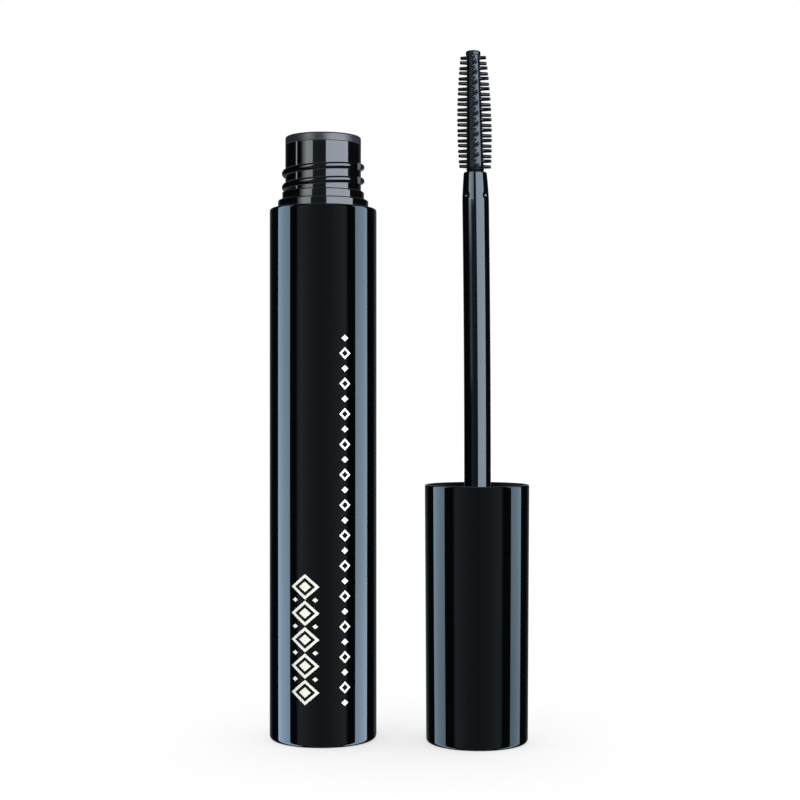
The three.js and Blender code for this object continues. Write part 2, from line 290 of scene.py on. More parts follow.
@dataclass(frozen=True)
class ScrewLine:
    """The centre line of a right-handed thread ridge that sinks into its wall at both ends.

    A point at share t of its length lies at the angle start + 360 t turns and at the height
    start_height + pitch t turns. Its distance from the axis is the radius, moved by `sink` where
    the share is within `runout` of an end.
    """

    radius: float
    pitch: float
    turns: float
    start_deg: float
    start_height: float
    sink: float
    runout: float

    def points(self, share: np.ndarray, axis: np.ndarray) -> tuple[np.ndarray, np.ndarray]:
        """Works out the line and the outward directions along it.

        Args:
            share: the shares of the length, from 0 to 1.
            axis: the axis's place in X and Y.

        Returns:
            The points and the outward unit vectors, each n by 3.
        """
        angle = np.radians(self.start_deg) + 2 * np.pi * self.turns * share
        shown = np.clip(np.minimum(share, 1 - share) / self.runout, 0, 1)
        radius = self.radius - self.sink * (1 - shown)
        out = np.stack([np.sin(angle), -np.cos(angle), 0 * angle], axis=1)
        place = np.array([axis[0], axis[1], self.start_height])
        rise = np.outer(self.pitch * self.turns * share, [0, 0, 1])
        return place + radius[:, None] * out + rise, out


# ---------------------------------------------------------------- finishes


class Graph:
    """The node tree of a material, a light or the world, built node by node."""

    def __init__(self, tree: bpy.types.NodeTree) -> None:
        """Starts on a tree."""
        self.tree = tree

    def add(self, kind: str, **inputs: object) -> bpy.types.Node:
        """Adds a node.

        Args:
            kind: Blender's name for the node's type.
            inputs: the values, or the sockets to link, by input name with _ for a space.

        Returns:
            The node.
        """
        node = self.tree.nodes.new(kind)
        self.set(node, **inputs)
        return node

    def set(self, node: bpy.types.Node, **inputs: object) -> None:
        """Gives a node's inputs their constants, or links sockets to them.

        Args:
            node: the node.
            inputs: the values or the sockets, by input name with _ for a space.
        """
        for name, value in inputs.items():
            self.put(node.inputs[name.replace("_", " ")], value)

    def put(self, socket: Socket, value: object) -> None:
        """Gives an input a constant, or links a socket to it."""
        if isinstance(value, Socket):
            self.tree.links.new(value, socket)
        else:
            socket.default_value = value

    def math(self, operation: str, *terms: object) -> Socket:
        """Adds a Math node.

        Args:
            operation: Blender's name for the operation.
            terms: its inputs in order, each a number or a socket.

        Returns:
            The result.
        """
        node = self.tree.nodes.new("ShaderNodeMath")
        node.operation = operation
        for socket, term in zip(node.inputs, terms):
            self.put(socket, term)
        return node.outputs[0]

    def between(self, value: Socket, start: float, end: float, low: float, high: float) -> Socket:
        """Turns a value from start to end into one from low to high."""
        limits = {"From Min": start, "From Max": end, "To Min": low, "To Max": high}
        return self.add("ShaderNodeMapRange", Value=value, **limits).outputs["Result"]


@dataclass(frozen=True)
class Grain:
    """A noise: the size of its blotches in millimetres, its octaves, and its stretch along Z."""

    size: float
    detail: float
    stretch: float = 1.0


class Skin(Graph):
    """A material's tree: one Principled shader and the noises that vary it."""

    def __init__(self, name: str) -> None:
        """Starts a material.

        Args:
            name: the material's name.
        """
        self.material = bpy.data.materials.new(name)
        self.material.use_nodes = True
        super().__init__(self.material.node_tree)
        self.shader = self.tree.nodes["Principled BSDF"]
        self.place = self.add("ShaderNodeTexCoord").outputs["Object"]

    def noise(self, grain: Grain) -> Socket:
        """Adds a noise, whose value lies about 0.5.

        Args:
            grain: its size, octaves and stretch.

        Returns:
            The noise's value.
        """
        mapped = self.add("ShaderNodeMapping", Vector=self.place, Scale=(1, 1, 1 / grain.stretch))
        pattern = {"Scale": 1 / (grain.size * MM), "Detail": grain.detail}
        return self.add("ShaderNodeTexNoise", Vector=mapped.outputs["Vector"], **pattern).outputs["Fac"]

    def mixed(self, factor: Socket, first: Colour, second: Colour) -> Socket:
        """Mixes two colours.

        Args:
            factor: the second colour's share.
            first: the colour at 0.
            second: the colour at 1.

        Returns:
            The mixed colour.
        """
        node = self.tree.nodes.new("ShaderNodeMix")
        node.data_type = "RGBA"
        self.set(node, Factor=factor, A=(*first, 1), B=(*second, 1))
        return next(s for s in node.outputs if s.type == "RGBA")


@dataclass(frozen=True)
class Finish:
    """A finish whose tone, gloss and relief each follow a noise, by default the tone's.

    The colour goes from `tones[0]` to `tones[1]` times itself, and the roughness from `wear[0]` to
    `wear[1]` above its own value. The relief is `depth` millimetres deep.
    """

    name: str
    colour: Colour
    roughness: float
    tone: Grain
    tones: Pair
    wear: Pair
    depth: float
    gloss: Grain | None = None
    relief: Grain | None = None
    ior: float = 1.5
    specular: float = 0.5
    sheen: float = 0.0

    def material(self) -> bpy.types.Material:
        """Makes the material.

        Returns:
            A Principled shader varied by the three noises.
        """
        skin = Skin(self.name)
        low, high = (tuple(min(1.0, part * factor) for part in self.colour) for factor in self.tones)
        wear = [self.roughness + change for change in self.wear]
        tone, gloss, relief = (skin.noise(g or self.tone) for g in (self.tone, self.gloss, self.relief))
        bump = skin.add("ShaderNodeBump", Height=relief, Distance=self.depth * MM)
        skin.set(
            skin.shader,
            Base_Color=skin.mixed(tone, low, high),
            Roughness=skin.between(gloss, 0.3, 0.7, *wear),
            Normal=bump.outputs["Normal"],
            IOR=self.ior,
            Specular_IOR_Level=self.specular,
            Sheen_Weight=self.sheen,
        )
        return skin.material


@dataclass(frozen=True)
class MouldedGloss(Finish):
    """Polished injection-moulded plastic: a faint flow in the skin, and wiping marks in the gloss."""

    tone: Grain = Grain(6.0, 2.0, 5.0)
    gloss: Grain = Grain(2.2, 5.0, 3.0)
    tones: Pair = (1.0, 1.6)
    wear: Pair = (0.0, 0.03)
    depth: float = 0.0008


@dataclass(frozen=True)
class MouldedSatin(Finish):
    """Plastic from a spark-eroded mould: a fine even grain, and slightly paler worn patches."""

    tone: Grain = Grain(1.8, 4.0)
    relief: Grain = Grain(0.12, 2.0)
    tones: Pair = (1.0, 1.5)
    wear: Pair = (-0.05, 0.06)
    depth: float = 0.006


@dataclass(frozen=True)
class SoftElastomer(Finish):
    """Moulded thermoplastic rubber: a silky skin with a pale bloom and a very fine grain."""

    tone: Grain = Grain(0.9, 4.0)
    relief: Grain = Grain(0.07, 1.0)
    tones: Pair = (1.0, 1.8)
    wear: Pair = (-0.06, 0.08)
    depth: float = 0.0015


@dataclass(frozen=True)
class WetPaste(Finish):
    """Mascara: a stiff black cream that stays wet, with ridges where the brush dragged it."""

    tone: Grain = Grain(0.7, 4.0, 6.0)
    tones: Pair = (1.0, 2.0)
    wear: Pair = (0.0, 0.24)
    depth: float = 0.12


@dataclass(frozen=True)
class PrintedInk(Finish):
    """Opaque screen-printed ink: a thin satin film with faint mesh marks."""

    tone: Grain = Grain(0.35, 3.0)
    tones: Pair = (0.93, 1.0)
    wear: Pair = (0.0, 0.12)
    depth: float = 0.004


class Look(Enum):
    """Every finish of the tube."""

    SHELL = MouldedGloss("shell_gloss_black", (0.0005, 0.0006, 0.0007), 0.03)
    INK = PrintedInk("cream_ink", (0.415, 0.41, 0.34), 0.38)
    NECK = MouldedGloss("neck_gloss_black", (0.0006, 0.0006, 0.0007), 0.05, depth=0.0015)
    WIPER = MouldedSatin("wiper_charcoal", (0.005, 0.005, 0.0062), 0.36)
    PASTE = WetPaste("mascara_black", (0.001, 0.001, 0.0012), 0.18)
    CAP = MouldedGloss("cap_gloss_black", (0.0005, 0.0006, 0.0006), 0.04, ior=1.455)
    LINING = MouldedSatin("overcap_lining", (0.002, 0.002, 0.0022), 0.5, specular=0.08)
    INNER = MouldedSatin("inner_cap_black", (0.004, 0.004, 0.0045), 0.5)
    GASKET = SoftElastomer("gasket_grey", (0.05, 0.05, 0.055), 0.6, sheen=0.1)
    ROD = MouldedGloss("rod_gloss_black", (0.0003, 0.0006, 0.0009), 0.06, depth=0.0012, ior=1.4)
    BRUSH = SoftElastomer("brush_elastomer", (0.0006, 0.0010, 0.0015), 0.2, specular=0.3)


def line_inside(piece: Piece, axis: np.ndarray, look: Look) -> None:
    """Gives the faces that look towards an upright axis a finish of their own.

    Args:
        piece: the finished object, which already has its outer finish.
        axis: the axis's place in X and Y, in millimetres.
        look: the finish of the inside.
    """
    faces = piece.data.polygons
    centre, normal = np.zeros(3 * len(faces)), np.zeros(3 * len(faces))
    faces.foreach_get("center", centre)
    faces.foreach_get("normal", normal)
    outward = centre.reshape(-1, 3)[:, :2] - axis * MM
    inside = (outward * normal.reshape(-1, 3)[:, :2]).sum(axis=1) < -1e-6
    piece.data.materials.append(look.value.material())
    faces.foreach_set("material_index", inside.astype(np.int32))


def place_piece(piece: Piece, look: Look, body: Body, node: str | None) -> Piece:
    """Dresses a piece and hands it to the frame.

    Args:
        piece: the finished object.
        look: its finish.
        body: the body that carries it.
        node: the frame's node that it stands for, or None for a surface detail.

    Returns:
        The same object.
    """
    piece.data.materials.append(look.value.material())
    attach(piece, body.value)
    if node is not None:
        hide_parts(node)
    log.info("%s: %d faces", piece.name, len(piece.data.polygons))
    return piece


# ---------------------------------------------------------------- the bottle


@dataclass
class Ornament:
    """Ink motifs on the bottle's round wall: a column of nested lozenges and a long fine chain.

    A motif is drawn flat, as distances along the wall and upwards, and laid on the cylinder: a
    distance s along the wall becomes the angle s / radius. The widths of cores, dots and beads
    are shares of the motif's width, and half of each height is a share of the pitch.
    """

    radius: float
    film: float = 0.02
    column_at: float = -2.55
    column_base: float = 6.8
    column_width: float = 4.7
    column_motifs: int = 5
    column_pitch: float = 4.2
    line_width: float = 0.42
    column_height: float = 0.48
    core_width: float = 0.42
    core_height: float = 0.2
    dot_at: float = 0.72
    dot_width: float = 0.2
    dot_height: float = 0.09
    chain_at: float = 3.95
    chain_base: float = 7.2
    chain_width: float = 1.9
    chain_motifs: int = 25
    chain_pitch: float = 2.42
    chain_line: float = 0.3
    chain_height: float = 0.4
    bead_width: float = 0.62
    bead_height: float = 0.22

    def _lay(self, shell: Shell, flat: np.ndarray) -> None:
        """Adds a motif as a thin closed film on the wall.

        Args:
            shell: the piece that takes the motif.
            flat: its points (along, up), as an array of rows by columns by 2, in which the
                columns close on themselves and the first and last rows are the two edges.
        """
        angle = flat[..., 0] / self.radius
        out = np.stack([np.sin(angle), -np.cos(angle), 0 * angle], axis=-1)
        up = flat[..., 1:] * np.array([0, 0, 1.0])
        skins = [up + level * out for level in (self.radius - self.film, self.radius + self.film)]
        shell.grid(np.concatenate([skins[0][::-1], skins[1]]), closed_rows=True)

    def _lozenge(self, shell: Shell, middle: Pair, half: Pair, line: float = math.inf) -> None:
        """Adds a lozenge's outline, or a solid lozenge where no line width is given.

        The edge at share q lies at (w c(q), h s(q)), where |c| + |s| = 1 and q runs round the
        motif. The inner edge is the same shape, smaller by the line's width.

        Args:
            shell: the piece that takes the motif.
            middle: the middle's distance along the wall from the front, and its height.
            half: half of the width, and half of the height.
            line: the width of the line.
        """
        quarter = np.linspace(0, 1, 8, endpoint=False)
        across = np.concatenate([1 - quarter, -quarter, quarter - 1, quarter])
        lift = np.concatenate([quarter, 1 - quarter, -quarter, quarter - 1])
        inner = max(0.02, 1 - line * math.hypot(*half) / math.prod(half))
        share = np.linspace(inner, 1, 4)[:, None, None]
        ring = np.array(middle) + np.array(half) * np.stack([across, lift], axis=-1) * share
        self._lay(shell, ring[::-1])

    def build(self) -> Piece:
        """Builds the ink film.

        Returns:
            The object of all motifs.
        """
        shell = Shell("ornament_print")
        half, pitch = self.column_width / 2, self.column_pitch
        for index in range(self.column_motifs):
            middle = (self.column_at, self.column_base + (index + 0.5) * pitch)
            self._lozenge(shell, middle, (half, self.column_height * pitch), self.line_width)
            self._lozenge(shell, middle, (self.core_width * half, self.core_height * pitch))
        for index in range(1, self.column_motifs):
            for side in (-self.dot_at, self.dot_at):
                middle = (self.column_at + side * half, self.column_base + index * pitch)
                self._lozenge(shell, middle, (self.dot_width * half, self.dot_height * pitch))
        half, pitch = self.chain_width / 2, self.chain_pitch
        for index in range(self.chain_motifs):
            middle = (self.chain_at, self.chain_base + index * pitch)
            if index % 2:
                self._lozenge(shell, middle, (half, self.chain_height * pitch), self.chain_line)
            else:
                self._lozenge(shell, middle, (self.bead_width * half, self.bead_height * pitch))
        return shell.finish()


@dataclass
class Bottle:
    """The bottle: gloss sleeve, vial with shoulder steps and thread, wiper, and mascara."""

    sleeve_wall: float = 1.2
    sleeve_floor: float = 1.5
    foot_fillet: float = 0.7
    rim_fillet: float = 0.45
    vial_wall: float = 0.9
    vial_floor: float = 1.6
    collar_rise: float = 1.4
    step_radius: float = 6.7
    step_rise: float = 1.4
    step_fillet: float = 0.3
    neck_bore: float = 4.9
    shoulder: float = 1.2
    thread_pitch: float = 2.25
    thread_rise: float = 0.58
    thread_section: float = 0.55
    thread_turns: float = 1.8
    thread_start_deg: float = 220.0
    thread_start_height: float = 0.36
    thread_runout: float = 0.065
    thread_break_deg: float = 56.0
    thread_break_width: float = 2.4
    seam_deg: float = -41.5
    seam_radius: float = 0.15
    flange_height: float = 1.3
    flange_fillet: float = 0.4
    wiper_wall: float = 0.8
    throat_depth: float = 7.0
    lip_wall: float = 0.5
    orifice: float = 2.27
    stem_clearance: float = 0.1
    channel: float = 4.1
    channel_drag: float = 0.25
    channel_rows: int = 90
    paste_floor: float = 4.0

    def __post_init__(self) -> None:
        """Reads the places of the bottle's pieces from the frame."""
        self.sleeve_at = Extent.of("bottle_sleeve")
        self.vial_at = Extent.of("vial")
        self.wiper_at = Extent.of("wiper")
        self.paste_at = Extent.of("mascara_paste")
        self.axis = self.sleeve_at.axis
        self.neck_radius = self.wiper_at.radius
        self.collar_top = self.sleeve_at.top + self.collar_rise
        self.step_top = self.collar_top + self.step_rise

    def sleeve(self) -> Piece:
        """Builds the outer shell: a cup with a rounded foot and a softly rounded rim.

        Returns:
            The sleeve.
        """
        radius, top = self.sleeve_at.radius, self.sleeve_at.top
        foot, rim, bore = self.foot_fillet, self.rim_fillet, radius - self.sleeve_wall
        outline = Outline((0, 0), (radius - foot, 0))
        outline.arc((radius - foot, foot), foot, -90, 0)
        outline.arc((radius - rim, top - rim), rim, 0, 90)
        outline.line((bore, top), (bore, self.sleeve_floor), (0, self.sleeve_floor))
        shell = Shell("sleeve_shell")
        shell.turned(outline, self.axis, Detail.SHELL)
        return shell.finish()

    def _thread(self, shell: Shell) -> None:
        """Adds the thread's ridge in stretches that stop short of the mould's two split lines.

        Args:
            shell: the vial.
        """
        line = ScrewLine(
            radius=self.neck_radius + self.thread_rise - self.thread_section,
            pitch=self.thread_pitch,
            turns=self.thread_turns,
            start_deg=self.thread_start_deg,
            start_height=self.step_top + self.thread_start_height,
            sink=self.thread_rise + self.stem_clearance,
            runout=self.thread_runout,
        )
        half_gap = math.degrees(self.thread_break_width / 2 / self.neck_radius)
        end_deg = line.start_deg + 360 * line.turns
        splits = np.arange(self.thread_break_deg, end_deg, 180)
        splits = splits[splits > line.start_deg]
        starts = np.concatenate([[line.start_deg], splits + half_gap])
        ends = np.concatenate([splits - half_gap, [end_deg]])
        for start, end in zip(starts, ends):
            stretch = np.linspace(start, end, max(8, round((end - start) / 2)))
            share = (stretch - line.start_deg) / (360 * line.turns)
            shell.swept(*line.points(share, self.axis), self.thread_section, Detail.RIDGE)

    def _seams(self, shell: Shell) -> None:
        """Adds the two fine raised lines that the mould's halves leave on the neck.

        Args:
            shell: the vial.
        """
        for side in (0, 180):
            angle = math.radians(self.seam_deg + side)
            out = np.array([math.sin(angle), -math.cos(angle), 0.0])
            height = np.linspace(self.step_top - self.step_fillet, self.vial_at.top, 24)
            path = (self.neck_radius - self.seam_radius / 3) * out + np.outer(height, [0, 0, 1])
            path[:, :2] += self.axis
            shell.swept(path, np.tile(out, (len(height), 1)), self.seam_radius, Detail.BRISTLE)

    def vial(self) -> Piece:
        """Builds the vial: straight wall, two shoulder steps, neck with thread and seams.

        Returns:
            The vial.
        """
        at, fillet, neck = self.vial_at, self.step_fillet, self.neck_radius
        inside = at.radius - self.vial_wall
        under = self.collar_top - self.shoulder
        floor = at.base + self.vial_floor
        outline = Outline((0, at.base), (at.radius, at.base))
        outline.arc((at.radius - fillet, self.collar_top - fillet), fillet, 0, 90)
        outline.line((self.step_radius, self.collar_top))
        outline.arc((self.step_radius - fillet, self.step_top - fillet), fillet, 0, 90)
        outline.line((neck, self.step_top), (neck, at.top), (self.neck_bore, at.top))
        outline.line((self.neck_bore, under), (inside, under - (inside - self.neck_bore)))
        outline.line((inside, floor), (0, floor))
        shell = Shell("vial_body")
        shell.turned(outline, self.axis, Detail.SHELL)
        self._thread(shell)
        self._seams(shell)
        return shell.finish()

    def wiper(self) -> Piece:
        """Builds the wiper: flange with a rounded edge, throat, and a lip that narrows to the rod.

        Returns:
            The wiper.
        """
        top, lip_base, rim = self.wiper_at.top, self.wiper_at.base, self.flange_fillet
        outer = self.neck_bore - self.stem_clearance
        throat, lip_top = outer - self.wiper_wall, top - self.throat_depth
        flange_base = top - self.flange_height
        outline = Outline((throat, top - rim), (throat, lip_top), (self.orifice, lip_base))
        outline.arc((self.orifice + self.lip_wall / 2, lip_base), self.lip_wall / 2, 180, 360)
        outline.line((outer, lip_top), (outer, flange_base), (self.neck_radius, flange_base))
        outline.arc((self.neck_radius - rim, top - rim), rim, 0, 90)
        outline.arc((throat + rim, top - rim), rim, 90, 180)
        shell = Shell("wiper_collar")
        shell.turned(outline, self.axis, Detail.SHELL, ring=True)
        return shell.finish()

    def paste(self) -> Piece:
        """Builds the mascara: a lining whose channel is rippled where the brush has dragged it.

        The channel's radius is c + d (0.5 + 0.5 sin(6 a + 0.9 z)) for the angle a and height z.

        Returns:
            The mascara.
        """
        at = self.paste_at
        height = np.linspace(at.top, at.base + self.paste_floor, self.channel_rows)[:, None]
        angle = turn(Detail.STEM)[None, :]
        ripple = 0.5 + 0.5 * np.sin(6 * angle + 0.9 * height)
        radius = self.channel + self.channel_drag * ripple
        channel = around(radius, height, self.axis, Detail.STEM)
        outside = np.array([[at.radius, at.base], [at.radius, at.top]])
        outer = around(outside[:, :1], outside[:, 1:], self.axis, Detail.STEM)
        shell = Shell("mascara_fill")
        shell.grid(np.concatenate([outer, channel]), capped=True)
        return shell.finish()

    def dress(self) -> list[Piece]:
        """Builds and dresses every piece of the bottle.

        Returns:
            The pieces: sleeve and print first, then the neck's pieces.
        """
        body = Body.BOTTLE
        print_film = Ornament(self.sleeve_at.radius).build()
        return [
            place_piece(self.sleeve(), Look.SHELL, body, "bottle_sleeve"),
            place_piece(print_film, Look.INK, body, None),
            place_piece(self.vial(), Look.NECK, body, "vial"),
            place_piece(self.wiper(), Look.WIPER, body, "wiper"),
            place_piece(self.paste(), Look.PASTE, body, "mascara_paste"),
        ]


# ---------------------------------------------------------------- the wand


@dataclass
class Brush:
    """The brush: one moulding with a stem, a tapered core, rows of bristles and a round head.

    Row k, counted from the root, stands at first_row + k pitch and is turned by +twist or -twist.
    Its bristles reach r = reach - sag (k / (rows - 1) - widest_at)^2 from the axis.
    """

    root: float
    axis: np.ndarray
    stem_base: float
    tip: float
    root_radius: float = 1.38
    tip_radius: float = 1.02
    head_radius: float = 1.2
    head_height: float = 0.65
    stem_radius: float = 1.25
    rows: int = 22
    per_row: int = 4
    pitch: float = 0.84
    first_row: float = 0.9
    twist_deg: float = 8.0
    reach: float = 2.84
    reach_sag: float = 1.7
    widest_at: float = 0.35
    bristle_root: float = 0.33
    bristle_tip: float = 0.27
    flare: float = 0.1
    flare_length: float = 0.05
    blunt_length: float = 0.07
    root_depth: float = 0.06
    collar_radius: float = 1.46
    collar_height: float = 0.4
    stem_chamfer: float = 0.2
    edge_fillet: float = 0.08
    head_fillet: float = 0.3
    collar_taper: float = 0.15
    head_gap: float = 0.05
    head_step: float = 0.03
    core_levels: int = 24

    def _core(self, shell: Shell) -> None:
        """Adds the stem, a collar that narrows downwards, the tapered core and the rounded head.

        Args:
            shell: the brush.
        """
        stem, base, chamfer = self.stem_radius, self.stem_base, self.stem_chamfer
        collar, head = self.root + self.collar_height, self.tip - self.head_height
        edge, rounded = self.edge_fillet, self.head_fillet
        outline = Outline((0, base), (stem - chamfer, base), (stem, base + chamfer), (stem, self.root))
        outline.arc((self.collar_radius - edge, collar), edge, -40, 50, 4)
        levels = np.linspace(collar + self.collar_taper, head - self.head_gap, self.core_levels)
        outline.line(*zip(self._core_radius(levels), levels))
        outline.arc((self.head_radius - edge, head + self.head_step), edge, -90, 0, 4)
        outline.arc((self.head_radius - rounded, self.tip - rounded), rounded, 0, 90)
        outline.line((0, self.tip))
        shell.turned(outline, self.axis, Detail.STEM)

    def _core_radius(self, height: np.ndarray) -> np.ndarray:
        """The core's radius at a height: a straight taper from root to head."""
        share = (height - self.root) / (self.tip - self.head_height - self.root)
        return self.root_radius + (self.tip_radius - self.root_radius) * share

    def _bristles(self, shell: Shell) -> None:
        """Adds all bristles as tapered spikes with flared roots and rounded tips.

        A bristle's section at share u of its length has the radius
        root + (tip - root) u + flare exp(-u / flare_length), and over its blunt end it closes as
        the square root of the length that is left.

        Args:
            shell: the brush.
        """
        row, place = np.divmod(np.arange(self.rows * self.per_row), self.per_row)
        height = self.root + self.first_row + row * self.pitch
        reach = self.reach - self.reach_sag * (row / (self.rows - 1) - self.widest_at) ** 2
        twist = np.where(row % 2 == 0, self.twist_deg, -self.twist_deg)
        angle = np.radians(twist + place * 360 / self.per_row)
        start = self._core_radius(height) - self.root_depth
        out = np.stack([np.sin(angle), -np.cos(angle), 0 * angle], axis=1)
        side = np.stack([np.cos(angle), np.sin(angle), 0 * angle], axis=1)
        share = np.array([0, 0.03, 0.07, 0.13, 0.3, 0.55, 0.8, 0.93, 0.96, 0.985, 0.996, 1.0])
        section = self.bristle_root + (self.bristle_tip - self.bristle_root) * share
        section = section + self.flare * np.exp(-share / self.flare_length)
        section = section * np.sqrt(np.clip((1.002 - share) / self.blunt_length, 0, 1))
        turn_angle = turn(Detail.BRISTLE)
        length = (reach - start)[:, None, None, None] * share[None, :, None, None]
        middle = np.column_stack([np.tile(self.axis, (len(height), 1)), height])
        spine = (middle + start[:, None] * out)[:, None, None] + length * out[:, None, None]
        cosine, sine = np.cos(turn_angle)[:, None], np.sin(turn_angle)[:, None]
        circle = cosine * side[:, None, None] + sine * np.array([0.0, 0.0, 1.0])
        shell.grid(spine + section[None, :, None, None] * circle, capped=True)

    def build(self) -> Shell:
        """Works out the brush, standing straight.

        Returns:
            The brush's surfaces.
        """
        shell = Shell("brush_moulding")
        self._core(shell)
        self._bristles(shell)
        return shell


@dataclass
class Wand:
    """The wand: overcap, inner cap, gasket, rod and brush, standing on the overcap's closed end."""

    cap_end_radius: float = 8.25
    cap_wall: float = 0.7
    cap_floor: float = 1.5
    end_fillet: float = 0.6
    rim_fillet: float = 0.25
    lip_fillet: float = 0.15
    shell_fit: float = 0.15
    seat_gap: float = 0.1
    thread_root: float = 6.93
    ridge_radius: float = 0.42
    ridge_crest: float = 6.35
    ridge_turns: float = 1.25
    thread_pitch: float = 2.25
    ridge_end_deg: float = 140.0
    ridge_end_height: float = 37.425
    ridge_runout: float = 0.07
    ridge_steps: int = 220
    mouth_chamfer: float = 0.25
    web: float = 1.6
    socket_bore: float = 2.7
    socket_wall: float = 1.1
    rib_thickness: float = 1.0
    rib_height: float = 7.0
    rib_into_socket: float = 0.3
    rib_into_web: float = 0.1
    rod_radius: float = 2.17
    rod_bore: float = 1.0
    rod_tip_radius: float = 1.9
    rod_tip_fillet: float = 0.3
    rod_taper: float = 4.7
    rod_taper_power: float = 1.35
    rod_rows: int = 40
    taper_rows: int = 60
    plug_chamfer: float = 0.5
    gasket_fillet: float = 0.2
    stem_socket: float = 1.35
    stem_length: float = 6.0
    crimp_below_tip: float = 3.9
    crimp_depth: float = 0.26
    crimp_width: float = 0.3
    lean: float = 0.09
    droop: float = 0.72

    def __post_init__(self) -> None:
        """Reads the places of the wand's pieces from the frame."""
        self.cap_at = Extent.of("overcap")
        self.inner_at = Extent.of("inner_cap")
        self.gasket_at = Extent.of("gasket")
        self.rod_at = Extent.of("rod")
        self.brush_at = Extent.of("brush")
        self.axis = self.cap_at.axis
        self.web_top = self.gasket_at.base - self.seat_gap

    def overcap(self) -> Piece:
        """Builds the overcap: a thin cup that widens slightly to its rim.

        Returns:
            The overcap.
        """
        end, rim, top = self.cap_end_radius, self.cap_at.radius, self.cap_at.top
        foot, edge, lip = self.end_fillet, self.rim_fillet, self.lip_fillet
        outline = Outline((0, 0), (end - foot, 0))
        outline.arc((end - foot, foot), foot, -90, 0)
        outline.arc((rim - edge, top - edge), edge, 0, 90)
        outline.arc((rim - self.cap_wall + lip, top - lip), lip, 90, 180, 4)
        outline.line((end - self.cap_wall, self.cap_floor), (0, self.cap_floor))
        shell = Shell("overcap_shell")
        shell.turned(outline, self.axis, Detail.SHELL)
        return shell.finish()

    def inner_cap(self) -> Piece:
        """Builds the inner cap: threaded skirt, web, rod socket and four centring ribs.

        Returns:
            The inner cap.
        """
        skirt = self.cap_end_radius - self.cap_wall - self.shell_fit
        socket = self.socket_bore + self.socket_wall
        top, web_base = self.inner_at.top, self.web_top - self.web
        outline = Outline((self.socket_bore, self.web_top), (self.socket_bore, self.inner_at.base))
        outline.line((socket, self.inner_at.base), (socket, web_base), (skirt, web_base))
        root, chamfer = self.thread_root, self.mouth_chamfer
        outline.line((skirt, top), (root + chamfer, top), (root, top - chamfer), (root, self.web_top))
        shell = Shell("inner_cap_body")
        shell.turned(outline, self.axis, Detail.SHELL, ring=True)
        radius = self.ridge_crest + self.ridge_radius
        line = ScrewLine(
            radius=radius,
            pitch=self.thread_pitch,
            turns=self.ridge_turns,
            start_deg=self.ridge_end_deg - 360 * self.ridge_turns,
            start_height=self.ridge_end_height - self.thread_pitch * self.ridge_turns,
            sink=radius + self.ridge_radius - skirt,
            runout=self.ridge_runout,
        )
        share = np.linspace(0, 1, self.ridge_steps)
        shell.swept(*line.points(share, self.axis), self.ridge_radius, Detail.RIDGE)
        self._ribs(shell, socket, skirt, web_base)
        return shell.finish()

    def _ribs(self, shell: Shell, inner: float, outer: float, top: float) -> None:
        """Adds the four upright ribs under the web.

        Args:
            shell: the inner cap.
            inner: the outer radius of the socket that they stand on.
            outer: the radius that they reach.
            top: the height of the web's underside.
        """
        half = self.rib_thickness / 2
        inner -= self.rib_into_socket
        corners = np.array([[inner, -half], [outer, -half], [outer, half], [inner, half]])
        for quarter in range(4):
            angle = quarter * math.pi / 2
            cosine, sine = math.cos(angle), math.sin(angle)
            flat = corners @ np.array([[cosine, sine], [-sine, cosine]]) + self.axis
            heights = (top - self.rib_height, top + self.rib_into_web)
            levels = [np.column_stack([flat, np.full(4, height)]) for height in heights]
            shell.grid(np.stack(levels), capped=True)

    def gasket(self) -> Piece:
        """Builds the gasket: a flat ring with rounded edges that lies on the web.

        Returns:
            The gasket.
        """
        at, edge = self.gasket_at, self.gasket_fillet
        inner, outer = self.rod_radius + 2 * self.seat_gap + edge, at.radius - edge
        low, high = at.base + edge, at.top - edge
        outline = Outline((inner, at.base), (outer, at.base))
        corners = [(outer, low), (outer, high), (inner, high), (inner, low)]
        for corner, start in zip(corners, (-90, 0, 90, 180)):
            outline.arc(corner, edge, start, start + 90, 4)
        shell = Shell("gasket_ring")
        shell.turned(outline, self.axis, Detail.STEM, ring=True)
        return shell.finish()

    def _bend(self, shell: Shell) -> None:
        """Gives the rod or the brush the slight bend that they share."""
        shell.bend(self.web_top, self.cap_at.top, self.brush_at.top, self.lean, self.droop)

